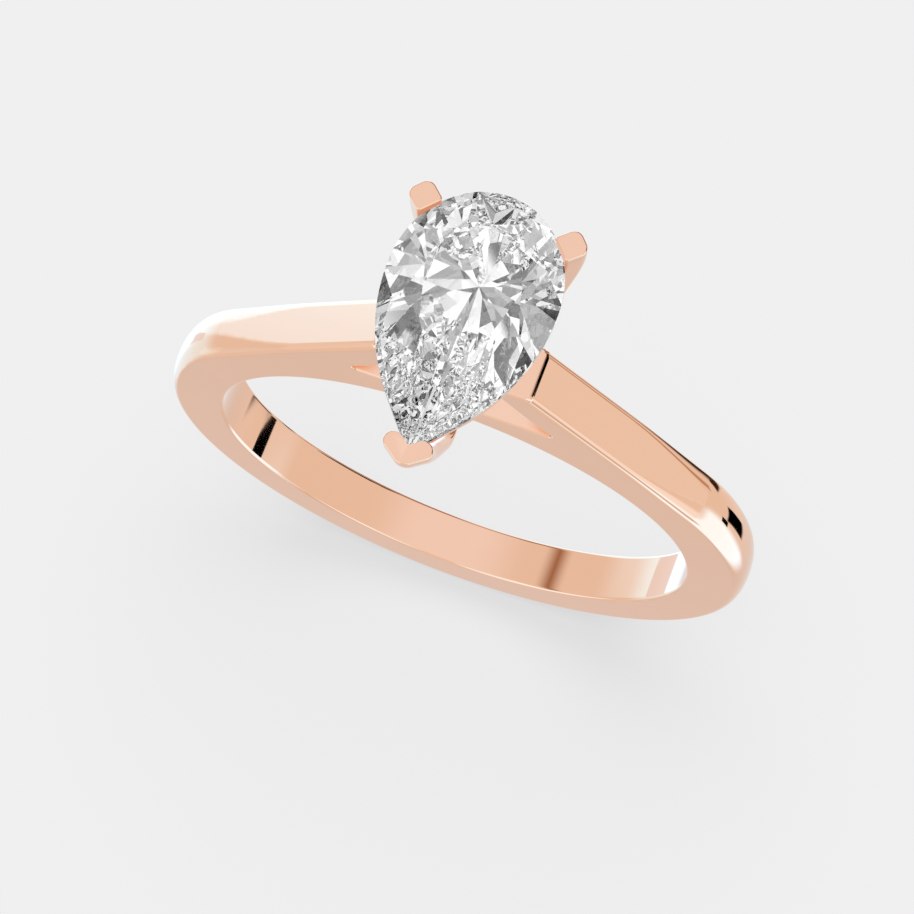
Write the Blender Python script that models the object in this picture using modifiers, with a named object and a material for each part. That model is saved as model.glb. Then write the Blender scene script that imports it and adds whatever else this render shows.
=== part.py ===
"""Engagement ring: a pear-cut solitaire held by three claws, carried by a cathedral shank.

The ring stands upright. The finger passes along Y, the stone sits at the top (+Z) and its point
looks towards -Y. All pieces hang on one empty at the centre of the finger hole, so every height
and distance below is measured from there. The world origin is under the middle of the ring's box.
"""

import math

import bmesh
import bpy

MM = 0.001

# Finger band. The hole is US size 7.
FINGER_RADIUS = 8.65 * MM
OUTER_RADIUS = 10.70 * MM
BAND_WIDTH = 1.82 * MM
HOOP_EDGE_RADIUS = 0.42 * MM
BORE_EDGE_BEVEL = 0.10 * MM

# Cathedral shoulders: flat slopes that leave the hoop and climb to the head.
SLOPE_ANGLE = math.radians(45.0)
SLOPE_DISTANCE = 10.45 * MM
SLOPE_BLEND_RADIUS = 6.0 * MM
SLOPE_EDGE_RADIUS = 0.27 * MM
CREST_X = 2.55 * MM
CREST_RADIUS = 0.25 * MM
SHOULDER_TIP_X = 1.50 * MM
SHOULDER_TIP_DEPTH = 0.42 * MM

# The wedge-shaped window between each shoulder and the flat-topped bridge under the head.
BRIDGE_TOP_Z = 9.58 * MM
BRIDGE_EDGE_RADIUS = 0.10 * MM
WINDOW_END_X = 3.27 * MM
WINDOW_END_RADIUS = 0.12 * MM
WINDOW_TURN_X = 2.50 * MM

# Pear-cut stone.
STONE_WIDTH = 5.38 * MM
STONE_BACK_Y = 4.15 * MM
STONE_TIP_Y = -4.55 * MM
STONE_CENTRE_Y = 1.00 * MM
FLANK_RADIUS = 6.40 * MM
GIRDLE_TOP_Z = 14.93 * MM
GIRDLE_THICKNESS = 0.16 * MM
CROWN_HEIGHT = 0.80 * MM
PAVILION_DEPTH = 2.32 * MM

# Facets. Each share is a plane's distance from the stone's axis at the table or at the culet,
# as a part of its distance at the girdle.
MAIN_DIRECTIONS = [math.radians(a) for a in (0, 45, 90, 120, 180)]
TABLE_SHARE = 0.56
STAR_GIRDLE_SHARE = 1.26
STAR_TABLE_SHARE = 0.52
UPPER_HALF_TABLE_SHARE = 0.65
LOWER_HALF_REACH = 1.02

# Head: two gallery rails, a peg, two flat claws and a V claw.
LOWER_RAIL_Z = 12.02 * MM
LOWER_RAIL_SCALE = 0.745
UPPER_RAIL_Z = 13.50 * MM
UPPER_RAIL_SCALE = 0.90
RAIL_HEIGHT = 0.45 * MM
RAIL_WALL = 0.45 * MM
PEG_FOOT_RADIUS = 0.80 * MM
PEG_WAIST_RADIUS = 0.60 * MM
PEG_COLLAR_RADIUS = 0.78 * MM
PEG_WAIST_Z = 9.80 * MM
PEG_COLLAR_Z = 10.00 * MM
PEG_TOP_Z = 10.72 * MM

CLAW_TOP_Z = 15.32 * MM
CLAW_EDGE = 0.05 * MM
CLAW_DIRECTION = math.radians(42.5)
V_CLAW_ANGLE = math.radians(36.0)
V_CLAW_CORNER = 0.42 * MM

# Flat claws from the tab down to the lower rail. Each row is a level section: height, reach from
# the stone's axis, depth, width, outer and inner corner radius, all in millimetres.
FLAT_CLAW_ROWS = [
    (15.27, 3.62, 0.80, 0.86, 0.30, 0.10),
    (14.95, 3.62, 0.80, 0.86, 0.30, 0.10),
    (14.30, 3.57, 0.80, 0.80, 0.28, 0.12),
    (11.90, 2.94, 0.80, 0.60, 0.22, 0.14),
]
FLAT_CLAW_FOOT = (10.36, 0.78, 0.54, 0.50, 0.18, 0.14)
FLAT_CLAW_FOOT_DIRECTION = math.radians(50.0)

# The V claw in the same way: height, distance of its corner in front of the finger centre,
# length of each arm, width of the arms, in millimetres.
V_CLAW_ROWS = [
    (15.27, 4.81, 0.59, 0.59),
    (14.95, 4.78, 0.59, 0.59),
    (14.20, 4.54, 0.60, 0.57),
    (11.90, 3.36, 0.60, 0.52),
]
V_CLAW_FOOT = (10.36, 0.56, 0.24, 0.42)

# Below the lower rail a leg follows its old line for this far, then bends into the peg's side.
# Its section leans over on the way, until it stands at this angle from level.
LEG_BEND = 1.20 * MM
LEG_BEND_STEPS = 6
FOOT_LEAN = math.radians(75.0)

# Neighbouring pieces stay this far apart, the thickness of a solder seam.
SEAM = 0.02 * MM

ARC_STEP = math.radians(5.0)
PEAR_STEPS = 48
CORNER_STEPS = 4
PEG_STEPS = 32

ROSE_GOLD = (0.84, 0.50, 0.36, 1.0)
CLEAR_STONE = (0.95, 0.95, 0.96, 1.0)


# ---------------------------------------------------------------- scene and materials


def clear_scene():
    for old in list(bpy.data.objects):
        bpy.data.objects.remove(old, do_unlink=True)


def make_collection(name):
    collection = bpy.data.collections.new(name)
    bpy.context.scene.collection.children.link(collection)
    return collection


def make_material(name, colour, roughness, metallic):
    material = bpy.data.materials.new(name)
    material.use_nodes = True
    material.diffuse_color = colour
    shader = material.node_tree.nodes["Principled BSDF"]
    shader.inputs["Base Color"].default_value = colour
    shader.inputs["Roughness"].default_value = roughness
    shader.inputs["Metallic"].default_value = metallic
    return material


def polished_gold(piece_name):
    return make_material(piece_name + "_gold", ROSE_GOLD, 0.10, 1.0)


def clear_stone():
    material = make_material("diamond_stone", CLEAR_STONE, 0.0, 0.0)
    shader = material.node_tree.nodes["Principled BSDF"]
    shader.inputs["IOR"].default_value = 2.417
    shader.inputs["Transmission Weight"].default_value = 1.0
    return material


def place(name, bm, material, collection, finger_centre):
    """Turn a finished bmesh into one named object that hangs on the finger centre."""
    bmesh.ops.recalc_face_normals(bm, faces=bm.faces)
    mesh = bpy.data.meshes.new(name)
    bm.to_mesh(mesh)
    bm.free()
    mesh.shade_smooth()
    mesh.set_sharp_from_angle(angle=math.radians(30.0))
    if material is not None:
        mesh.materials.append(material)
    piece = bpy.data.objects.new(name, mesh)
    piece.parent = finger_centre
    collection.objects.link(piece)
    return piece


def place_cutter(name, bm, cutters, finger_centre):
    cutter = place(name, bm, None, cutters, finger_centre)
    cutter.hide_render = True
    cutter.display_type = "WIRE"
    return cutter


def cut_away(piece, cutter):
    boolean = piece.modifiers.new("cut_by_" + cutter.name, "BOOLEAN")
    boolean.operation = "DIFFERENCE"
    boolean.solver = "EXACT"
    boolean.object = cutter


# ---------------------------------------------------------------- outlines


def arc(centre, radius, start, end, step=ARC_STEP):
    """Points along an arc in a plane, with both ends and the middle included."""
    count = 2 * math.ceil(abs(end - start) / step / 2)
    angles = [start + (end - start) * i / count for i in range(count + 1)]
    return [(centre[0] + radius * math.cos(a), centre[1] + radius * math.sin(a)) for a in angles]


def seam_trim(radius):
    """The angle that half a seam takes up on a circle."""
    return SEAM / 2 / radius


def slope_blend():
    """Centre of the arc that joins the hoop to the slope, and the angle where it starts."""
    distance = OUTER_RADIUS - SLOPE_BLEND_RADIUS
    start = SLOPE_ANGLE - math.acos((SLOPE_DISTANCE - SLOPE_BLEND_RADIUS) / distance)
    return (distance * math.cos(start), distance * math.sin(start)), start


def crest_height():
    """Height at which the slope passes over the crest."""
    return (SLOPE_DISTANCE - CREST_X * math.cos(SLOPE_ANGLE)) / math.sin(SLOPE_ANGLE)


def shank_outline():
    """The hoop seen along the finger, from one shoulder round the bottom to the other."""
    start = slope_blend()[1]
    end = -math.pi - start
    outer = arc((0, 0), OUTER_RADIUS, start - seam_trim(OUTER_RADIUS), end + seam_trim(OUTER_RADIUS))
    bore = arc((0, 0), FINGER_RADIUS, end + seam_trim(FINGER_RADIUS), start - seam_trim(FINGER_RADIUS))
    return outer + bore


def bridge_seam_angle():
    return math.atan2(BRIDGE_TOP_Z, WINDOW_END_X)


def shoulder_outline():
    """The right shoulder seen along the finger: bore, window, tip, crest, slope and blend."""
    blend_centre, start = slope_blend()
    seam = bridge_seam_angle()
    bore = arc((0, 0), FINGER_RADIUS, start + seam_trim(FINGER_RADIUS), seam - seam_trim(FINGER_RADIUS))
    window_centre = (WINDOW_END_X, BRIDGE_TOP_Z + WINDOW_END_RADIUS)
    window = arc(window_centre, WINDOW_END_RADIUS, -math.pi / 2, SLOPE_ANGLE, math.radians(27.0))
    turn_rise = (window[-1][0] - WINDOW_TURN_X) / math.tan(SLOPE_ANGLE)
    crest_z = crest_height()
    inner_side = [
        (WINDOW_TURN_X, window[-1][1] + turn_rise),
        (SHOULDER_TIP_X, crest_z - SHOULDER_TIP_DEPTH),
        (SHOULDER_TIP_X, crest_z),
    ]
    crest_run = CREST_RADIUS * math.tan(SLOPE_ANGLE / 2)
    crest_centre = (CREST_X - crest_run, crest_z - CREST_RADIUS)
    crest = arc(crest_centre, CREST_RADIUS, math.pi / 2, SLOPE_ANGLE, math.radians(12.0))
    blend = arc(blend_centre, SLOPE_BLEND_RADIUS, SLOPE_ANGLE, start + seam_trim(OUTER_RADIUS))
    return bore + window + inner_side + crest + blend


def bridge_outline():
    """The flat-topped piece of hoop under the head, between the two windows' ends."""
    seam = bridge_seam_angle() + seam_trim(FINGER_RADIUS)
    bore = arc((0, 0), FINGER_RADIUS, seam, math.pi - seam)
    end_x = WINDOW_END_X - SEAM / 2
    return bore + [(-end_x, BRIDGE_TOP_Z), (end_x, BRIDGE_TOP_Z)]


def pear_outline(scale=1.0, grow=0.0):
    """The girdle from above: half an ellipse at the back, then two arcs that run straight at the
    point, each tangent to its straight run."""
    half = STONE_WIDTH / 2 * scale + grow
    back = (STONE_BACK_Y - STONE_CENTRE_Y) * scale + grow
    front = (STONE_CENTRE_Y - STONE_TIP_Y) * scale + grow
    radius = FLANK_RADIUS * scale + grow
    inset = radius - half
    sweep = math.atan2(front, inset) - math.acos(radius / math.hypot(front, inset))
    round_steps = PEAR_STEPS // 2
    flank_steps = PEAR_STEPS // 4
    round_end = []
    for i in range(round_steps):
        angle = math.pi * i / round_steps
        round_end.append((half * math.cos(angle), STONE_CENTRE_Y + back * math.sin(angle)))
    flank = []
    for i in range(flank_steps):
        angle = sweep * i / (flank_steps - 1)
        flank.append((radius * math.cos(angle) - inset, STONE_CENTRE_Y - radius * math.sin(angle)))
    left = [(-x, y) for x, y in flank]
    point = (0.0, STONE_CENTRE_Y - front)
    return round_end + left + [point] + flank[:0:-1]


def rounded_plate(length, width, outer_corner, inner_corner):
    """A claw's section: long side across the claw, with softer corners on its outer side (+x)."""
    half_length = length / 2
    half_width = width / 2
    corners = [
        (half_length, half_width, outer_corner, 0.0),
        (-half_length, half_width, inner_corner, math.pi / 2),
        (-half_length, -half_width, inner_corner, math.pi),
        (half_length, -half_width, outer_corner, 1.5 * math.pi),
    ]
    points = []
    for x, y, corner, start in corners:
        centre = (x - math.copysign(corner, x), y - math.copysign(corner, y))
        points += arc(centre, corner, start, start + math.pi / 2, math.pi / 2 / CORNER_STEPS)
    return points


def chevron(arm, width, corner):
    """The V claw's section: two arms with round ends that meet in a rounded outer corner at -y."""
    half = width / 2
    end_centre = (arm * math.cos(V_CLAW_ANGLE), arm * math.sin(V_CLAW_ANGLE))
    cap_start = V_CLAW_ANGLE - math.pi / 2
    cap = arc(end_centre, half, cap_start, cap_start + math.pi, math.pi / 4)
    corner_centre = (0, -(half - corner) / math.cos(V_CLAW_ANGLE))
    nose = arc(corner_centre, corner, -math.pi / 2, cap_start, V_CLAW_ANGLE / 2)
    right = nose + cap
    left = [(-x, y) for x, y in reversed(right)]
    inner_corner = (0, half / math.cos(V_CLAW_ANGLE))
    return right + [inner_corner] + left[:-1]


# ---------------------------------------------------------------- solids from outlines


def plate(points, width):
    """A plate across the band, from an outline in the XZ plane."""
    bm = bmesh.new()
    face = bm.faces.new([bm.verts.new((x, -width / 2, z)) for x, z in points])
    moved = bmesh.ops.extrude_face_region(bm, geom=[face], use_keep_orig=True)
    far_side = [v for v in moved["geom"] if isinstance(v, bmesh.types.BMVert)]
    bmesh.ops.translate(bm, verts=far_side, vec=(0, width, 0))
    return bm


def ring_plate(outer, inner, low, high):
    """A flat rail from two outlines in the XY plane with the same number of points."""
    bm = bmesh.new()
    loops = []
    for outline, z in ((outer, low), (outer, high), (inner, high), (inner, low)):
        loops.append([bm.verts.new((x, y, z)) for x, y in outline])
    for first, second in zip(loops, loops[1:] + loops[:1]):
        join_loops(bm, first, second)
    return bm


def solid_plate(outline, low, high):
    bm = bmesh.new()
    loft_sections(bm, [[(x, y, low) for x, y in outline], [(x, y, high) for x, y in outline]])
    return bm


def join_loops(bm, first, second):
    count = len(first)
    for i in range(count):
        j = (i + 1) % count
        bm.faces.new((first[i], first[j], second[j], second[i]))


def loft_sections(bm, sections):
    """Skin a row of closed sections that share one point count, and cap both ends."""
    loops = [[bm.verts.new(p) for p in section] for section in sections]
    for first, second in zip(loops, loops[1:]):
        join_loops(bm, first, second)
    bm.faces.new(loops[0])
    bm.faces.new(loops[-1])


def weight_long_edges(bm, rounding):
    """Give each edge that runs along the band its rounding radius, from the edge's middle."""
    layer = bm.edges.layers.float.new("bevel_weight_edge")
    for edge in bm.edges:
        first, second = (v.co for v in edge.verts)
        if abs(first.y - second.y) < BAND_WIDTH / 2:
            edge[layer] = rounding((first + second) / 2) / HOOP_EDGE_RADIUS


def round_edges(piece, segments):
    bevel = piece.modifiers.new("rounded_edges", "BEVEL")
    bevel.width = HOOP_EDGE_RADIUS
    bevel.segments = segments
    bevel.limit_method = "WEIGHT"
    bevel.use_clamp_overlap = False


def keep_flats_flat(piece):
    """Shade the broad flats as flats where they meet rounded edges."""
    normals = piece.modifiers.new("flats", "WEIGHTED_NORMAL")
    normals.weight = 100
    normals.keep_sharp = True


# ---------------------------------------------------------------- band


def is_on_bore(point):
    return math.hypot(point.x, point.z) < FINGER_RADIUS + SEAM


def hoop_rounding(point):
    """Rounding of the hoop's edges: small at the bore, full outside, none on the seams."""
    if is_on_bore(point):
        return BORE_EDGE_BEVEL
    if math.hypot(point.x, point.z) > OUTER_RADIUS - BORE_EDGE_BEVEL:
        return HOOP_EDGE_RADIUS
    return 0.0


def shoulder_rounding(point):
    """Rounding of the shoulder's edges: it tightens from the hoop's to the slope's on the blend."""
    if is_on_bore(point):
        return BORE_EDGE_BEVEL
    blend_centre, start = slope_blend()
    from_slope = SLOPE_DISTANCE - point.x * math.cos(SLOPE_ANGLE) - point.z * math.sin(SLOPE_ANGLE)
    from_top = crest_height() - point.z
    slope_end_x = blend_centre[0] + SLOPE_BLEND_RADIUS * math.cos(SLOPE_ANGLE)
    if point.x < slope_end_x and min(from_slope, from_top) < SEAM:
        return SLOPE_EDGE_RADIUS
    from_blend = math.hypot(point.x - blend_centre[0], point.z - blend_centre[1])
    if abs(from_blend - SLOPE_BLEND_RADIUS) > SEAM:
        return 0.0
    angle = math.atan2(point.z - blend_centre[1], point.x - blend_centre[0])
    share = (angle - start) / (SLOPE_ANGLE - start)
    return HOOP_EDGE_RADIUS + (SLOPE_EDGE_RADIUS - HOOP_EDGE_RADIUS) * share


def bridge_rounding(point):
    if is_on_bore(point):
        return BORE_EDGE_BEVEL
    return BRIDGE_EDGE_RADIUS if point.z > BRIDGE_TOP_Z - SEAM else 0.0


def build_shank(collection, finger_centre):
    bm = plate(shank_outline(), BAND_WIDTH)
    weight_long_edges(bm, hoop_rounding)
    shank = place("shank", bm, polished_gold("shank"), collection, finger_centre)
    round_edges(shank, 4)
    keep_flats_flat(shank)


def build_shoulder(name, turn, rail_cutter, collection, finger_centre):
    """One shoulder. The left one is the right one turned half way round the stone's axis."""
    bm = plate(shoulder_outline(), BAND_WIDTH)
    weight_long_edges(bm, shoulder_rounding)
    shoulder = place(name, bm, polished_gold(name), collection, finger_centre)
    shoulder.rotation_euler.z = turn
    round_edges(shoulder, 4)
    cut_away(shoulder, rail_cutter)
    keep_flats_flat(shoulder)


def build_bridge(collection, finger_centre):
    bm = plate(bridge_outline(), BAND_WIDTH)
    weight_long_edges(bm, bridge_rounding)
    bridge = place("finger_bridge", bm, polished_gold("finger_bridge"), collection, finger_centre)
    round_edges(bridge, 2)
    keep_flats_flat(bridge)


# ---------------------------------------------------------------- head


def build_peg(collection, finger_centre):
    """The turned peg that stands on the bridge and carries the feet of the claws."""
    top_z = PEG_TOP_Z
    foot_z = BRIDGE_TOP_Z + SEAM
    profile = [
        (0, top_z),
        (PEG_COLLAR_RADIUS, top_z),
        (PEG_COLLAR_RADIUS, PEG_COLLAR_Z),
        (PEG_WAIST_RADIUS, PEG_WAIST_Z),
        (PEG_FOOT_RADIUS, foot_z),
        (0, foot_z),
    ]
    mesh = bpy.data.meshes.new("head_peg")
    edges = [(i, i + 1) for i in range(len(profile) - 1)]
    mesh.from_pydata([(x, 0, z) for x, z in profile], edges, [])
    mesh.materials.append(polished_gold("head_peg"))
    peg = bpy.data.objects.new("head_peg", mesh)
    peg.parent = finger_centre
    collection.objects.link(peg)
    screw = peg.modifiers.new("turned", "SCREW")
    screw.steps = PEG_STEPS
    screw.render_steps = PEG_STEPS
    screw.use_merge_vertices = True
    screw.merge_threshold = 0.000001
    screw.use_smooth_shade = False


def make_collar_cutter(cutters, finger_centre):
    """The peg's collar, one seam larger, to shape the feet of the claws."""
    radius = PEG_COLLAR_RADIUS + SEAM
    step = 2 * math.pi / PEG_STEPS
    outline = arc((0, 0), radius, 0.0, 2 * math.pi, step)[:-1]
    bm = solid_plate(outline, BRIDGE_TOP_Z, PEG_TOP_Z + PEG_COLLAR_RADIUS)
    return place_cutter("collar_place", bm, cutters, finger_centre)


def build_rail(name, scale, middle_z, collection, finger_centre):
    """One pear-shaped gallery rail, inset from the girdle's outline."""
    bm = ring_plate(
        pear_outline(scale),
        pear_outline(scale, -RAIL_WALL),
        middle_z - RAIL_HEIGHT / 2,
        middle_z + RAIL_HEIGHT / 2,
    )
    place(name, bm, polished_gold(name), collection, finger_centre)


def make_rail_cutter(name, scale, middle_z, cutters, finger_centre):
    """The rail's place, filled in and one seam larger, to notch what meets the rail."""
    low = middle_z - RAIL_HEIGHT / 2 - SEAM
    high = middle_z + RAIL_HEIGHT / 2 + SEAM
    bm = solid_plate(pear_outline(scale, SEAM), low, high)
    return place_cutter(name, bm, cutters, finger_centre)


def claw_section(row, direction, origin, lean=0.0):
    """A flat claw's section in space, square to its direction from an origin."""
    height, reach, depth, width, outer_corner, inner_corner = (value * MM for value in row)
    middle = reach - depth / 2
    points = []
    for outward, across in rounded_plate(depth, width, outer_corner, inner_corner):
        along = middle + outward * math.cos(lean)
        x = origin[0] + along * math.cos(direction) - across * math.sin(direction)
        y = origin[1] + along * math.sin(direction) + across * math.cos(direction)
        points.append((x, y, height - outward * math.sin(lean)))
    return points


def v_section(row, lean=0.0):
    """The V claw's section in space."""
    height, distance, arm, width = (value * MM for value in row)
    points = []
    for x, y in chevron(arm, width, V_CLAW_CORNER):
        points.append((x, y * math.cos(lean) - distance, height + y * math.sin(lean)))
    return points


def bevelled_top(section):
    """The small flat bevel round a claw's top: the same section, drawn in and raised."""
    middle_x = sum(p[0] for p in section) / len(section)
    middle_y = sum(p[1] for p in section) / len(section)
    size = max(math.hypot(p[0] - middle_x, p[1] - middle_y) for p in section)
    share = 1 - CLAW_EDGE / size
    points = []
    for x, y, _ in section:
        points.append((middle_x + (x - middle_x) * share, middle_y + (y - middle_y) * share, CLAW_TOP_Z))
    return points


def bend_to_foot(upper, lower, foot):
    """Sections that carry a leg from the lower rail round a soft bend to its foot."""
    drop = upper[0][2] - lower[0][2]
    sections = []
    for i in range(1, LEG_BEND_STEPS + 1):
        t = i / LEG_BEND_STEPS
        section = []
        for before, start, end in zip(upper, lower, foot):
            point = []
            for k in range(3):
                control = start[k] + (start[k] - before[k]) / drop * LEG_BEND
                point.append((1 - t) ** 2 * start[k] + 2 * t * (1 - t) * control + t**2 * end[k])
            section.append(point)
        sections.append(section)
    return sections


def finish_claw(name, rows, foot, cutters, collection, finger_centre):
    """Skin a claw from its tab to its foot, then cut what it makes room for."""
    sections = [bevelled_top(rows[0])] + rows + bend_to_foot(rows[-2], rows[-1], foot)
    bm = bmesh.new()
    loft_sections(bm, sections)
    claw = place(name, bm, polished_gold(name), collection, finger_centre)
    for cutter in cutters:
        cut_away(claw, cutter)


def build_flat_claw(name, side, cutters, collection, finger_centre):
    """A claw with a flat, round-nosed tab over the girdle, on one side (+1 right, -1 left)."""
    direction = math.pi / 2 - side * (math.pi / 2 - CLAW_DIRECTION)
    foot_direction = math.pi / 2 - side * (math.pi / 2 - FLAT_CLAW_FOOT_DIRECTION)
    stone_axis = (0, STONE_CENTRE_Y)
    rows = [claw_section(row, direction, stone_axis) for row in FLAT_CLAW_ROWS]
    foot = claw_section(FLAT_CLAW_FOOT, foot_direction, (0, 0), FOOT_LEAN)
    finish_claw(name, rows, foot, cutters, collection, finger_centre)


def build_v_claw(cutters, collection, finger_centre):
    """The claw that caps the stone's point: a chevron on a V-shaped leg."""
    rows = [v_section(row) for row in V_CLAW_ROWS]
    foot = v_section(V_CLAW_FOOT, FOOT_LEAN)
    finish_claw("v_claw", rows, foot, cutters, collection, finger_centre)


# ---------------------------------------------------------------- stone


def support(outline, direction):
    """How far the outline reaches from the stone's axis in a direction, measured from +Y."""
    x, y = math.sin(direction), math.cos(direction)
    return max(px * x + (py - STONE_CENTRE_Y) * y for px, py in outline)


def grind(bm, direction, height_a, distance_a, height_b, distance_b, grow):
    """Grind one facet: its plane passes at two distances from the axis, at two heights."""
    x, y = math.sin(direction), math.cos(direction)
    rise = height_b - height_a
    run = distance_b - distance_a
    outward, upward = (rise, -run) if rise > 0 else (-rise, run)
    size = math.hypot(outward, upward)
    normal = (x * outward / size, y * outward / size, upward / size)
    point = (
        x * distance_a + normal[0] * grow,
        STONE_CENTRE_Y + y * distance_a + normal[1] * grow,
        height_a + normal[2] * grow,
    )
    slice_off(bm, point, normal)


def slice_off(bm, point, normal):
    """Remove what lies beyond a plane and close the cut with one flat face."""
    geometry = bm.verts[:] + bm.edges[:] + bm.faces[:]
    cut = bmesh.ops.bisect_plane(
        bm, geom=geometry, dist=1e-8, plane_co=point, plane_no=normal, clear_outer=True
    )
    rim = [e for e in cut["geom_cut"] if isinstance(e, bmesh.types.BMEdge) and e.is_boundary]
    if rim:
        bmesh.ops.holes_fill(bm, edges=rim, sides=0)


def facet_directions():
    """Main facets, and the pairs of neighbouring mains, all round the stone."""
    mains = MAIN_DIRECTIONS + [-a for a in reversed(MAIN_DIRECTIONS[1:-1])]
    pairs = []
    for first, second in zip(MAIN_DIRECTIONS, MAIN_DIRECTIONS[1:]):
        pairs.append((first, second))
        pairs.append((-first, -second))
    return mains, pairs


def cut_stone(grow=0.0):
    """A pear brilliant, ground out of a pear-shaped blank plane by plane."""
    outline = pear_outline(1.0, grow)
    true_outline = pear_outline()
    girdle_low = GIRDLE_TOP_Z - GIRDLE_THICKNESS
    table_z = GIRDLE_TOP_Z + CROWN_HEIGHT
    culet_z = girdle_low - PAVILION_DEPTH
    bm = solid_plate(outline, culet_z - PAVILION_DEPTH, table_z + CROWN_HEIGHT)
    bmesh.ops.recalc_face_normals(bm, faces=bm.faces)
    slice_off(bm, (0, 0, table_z + grow), (0, 0, 1))
    mains, pairs = facet_directions()
    for direction in mains:
        reach = support(true_outline, direction)
        grind(bm, direction, girdle_low, reach, culet_z, 0.0, grow)
        grind(bm, direction, GIRDLE_TOP_Z, reach, table_z, reach * TABLE_SHARE, grow)
    for first, second in pairs:
        middle = (first + second) / 2
        star_reach = support(true_outline, middle)
        star_low = star_reach * STAR_GIRDLE_SHARE
        grind(bm, middle, GIRDLE_TOP_Z, star_low, table_z, star_reach * STAR_TABLE_SHARE, grow)
        for share in (0.25, 0.75):
            direction = first + (second - first) * share
            reach = support(true_outline, direction)
            half_z = girdle_low - PAVILION_DEPTH * LOWER_HALF_REACH
            grind(bm, direction, girdle_low, reach, half_z, 0.0, grow)
            upper = reach * UPPER_HALF_TABLE_SHARE
            grind(bm, direction, GIRDLE_TOP_Z, reach, table_z, upper, grow)
    return bm


def build_stone(collection, finger_centre):
    stone = place("diamond", cut_stone(), clear_stone(), collection, finger_centre)
    stone.data.shade_flat()


# ---------------------------------------------------------------- ring


def box_middle_y():
    """Middle of the ring's box along the finger: the V claw's nose to the stone's round end."""
    front = min(y for _, y, _ in v_section(V_CLAW_ROWS[0]))
    return (front + STONE_BACK_Y) / 2


def main():
    clear_scene()
    ring = make_collection("engagement_ring")
    cutters = make_collection("cutters")
    finger_centre = bpy.data.objects.new("finger_centre", None)
    finger_centre.location = (0, -box_middle_y(), OUTER_RADIUS)
    ring.objects.link(finger_centre)

    seat = place_cutter("stone_seat", cut_stone(SEAM), cutters, finger_centre)
    lower = make_rail_cutter("lower_rail_place", LOWER_RAIL_SCALE, LOWER_RAIL_Z, cutters, finger_centre)
    upper = make_rail_cutter("upper_rail_place", UPPER_RAIL_SCALE, UPPER_RAIL_Z, cutters, finger_centre)
    collar = make_collar_cutter(cutters, finger_centre)

    build_shank(ring, finger_centre)
    build_shoulder("shoulder_right", 0.0, lower, ring, finger_centre)
    build_shoulder("shoulder_left", math.pi, lower, ring, finger_centre)
    build_bridge(ring, finger_centre)
    build_peg(ring, finger_centre)
    build_rail("lower_gallery_rail", LOWER_RAIL_SCALE, LOWER_RAIL_Z, ring, finger_centre)
    build_rail("upper_gallery_rail", UPPER_RAIL_SCALE, UPPER_RAIL_Z, ring, finger_centre)
    claw_cutters = (seat, upper, lower, collar)
    build_flat_claw("claw_right", 1, claw_cutters, ring, finger_centre)
    build_flat_claw("claw_left", -1, claw_cutters, ring, finger_centre)
    build_v_claw(claw_cutters, ring, finger_centre)
    build_stone(ring, finger_centre)


main()
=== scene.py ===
"""Looks of the pear-cut engagement ring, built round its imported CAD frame.

Every CAD node is replaced by a finer piece in the same place: polished rose gold and a faceted
clear stone. The pieces differ from the CAD in small things only: the hoop's sides are domed, most
edges are softer, and the stone's lowest point is moved a little. Shapes are drawn from the centre
of the finger hole, in metres, with the finger along Y and the stone at +Z.
"""

import math

import bmesh
import bpy
from mathutils import Matrix, Vector


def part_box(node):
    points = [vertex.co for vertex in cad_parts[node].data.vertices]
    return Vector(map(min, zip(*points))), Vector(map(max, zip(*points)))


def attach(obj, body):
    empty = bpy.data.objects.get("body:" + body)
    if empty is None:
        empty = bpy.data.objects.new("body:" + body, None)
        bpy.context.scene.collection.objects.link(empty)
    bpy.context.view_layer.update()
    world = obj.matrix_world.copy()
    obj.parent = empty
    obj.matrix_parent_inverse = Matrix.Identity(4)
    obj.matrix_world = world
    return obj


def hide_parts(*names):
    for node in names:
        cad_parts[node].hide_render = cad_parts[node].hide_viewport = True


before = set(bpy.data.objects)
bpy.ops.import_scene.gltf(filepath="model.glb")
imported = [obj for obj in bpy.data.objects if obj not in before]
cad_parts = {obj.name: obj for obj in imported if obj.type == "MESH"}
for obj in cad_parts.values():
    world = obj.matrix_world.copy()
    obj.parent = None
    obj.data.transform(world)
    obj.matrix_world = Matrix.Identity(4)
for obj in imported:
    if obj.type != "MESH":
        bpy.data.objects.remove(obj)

MM = 0.001
METAL_SLOT = "rose_gold"
STONE_SLOT = "diamond"

# Band.
FINGER_RADIUS = 8.65 * MM
OUTER_RADIUS = 10.70 * MM
BAND_WIDTH = 1.82 * MM
HOOP_EDGE_WIDTH = 0.85 * MM
HOOP_EDGE_DEPTH = 0.40 * MM
BORE_EDGE_RADIUS = 0.10 * MM

# Cathedral shoulders.
SLOPE_ANGLE = math.radians(45.0)
SLOPE_DISTANCE = 10.45 * MM
SLOPE_BLEND_RADIUS = 6.0 * MM
SLOPE_EDGE_RADIUS = 0.25 * MM
WIDENING_X = 5.60 * MM
CREST_EDGE_RADIUS = 0.08 * MM
CREST_X = 2.55 * MM
CREST_RADIUS = 0.34 * MM
SHOULDER_TIP_X = 1.50 * MM
SHOULDER_TIP_DEPTH = 0.42 * MM

# The window under each shoulder and the bridge over the finger.
BRIDGE_TOP_Z = 9.58 * MM
BRIDGE_EDGE_RADIUS = 0.10 * MM
WINDOW_END_X = 3.27 * MM
WINDOW_END_RADIUS = 0.12 * MM
WINDOW_TURN_X = 2.50 * MM
WINDOW_EDGE_RADIUS = 0.04 * MM

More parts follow.
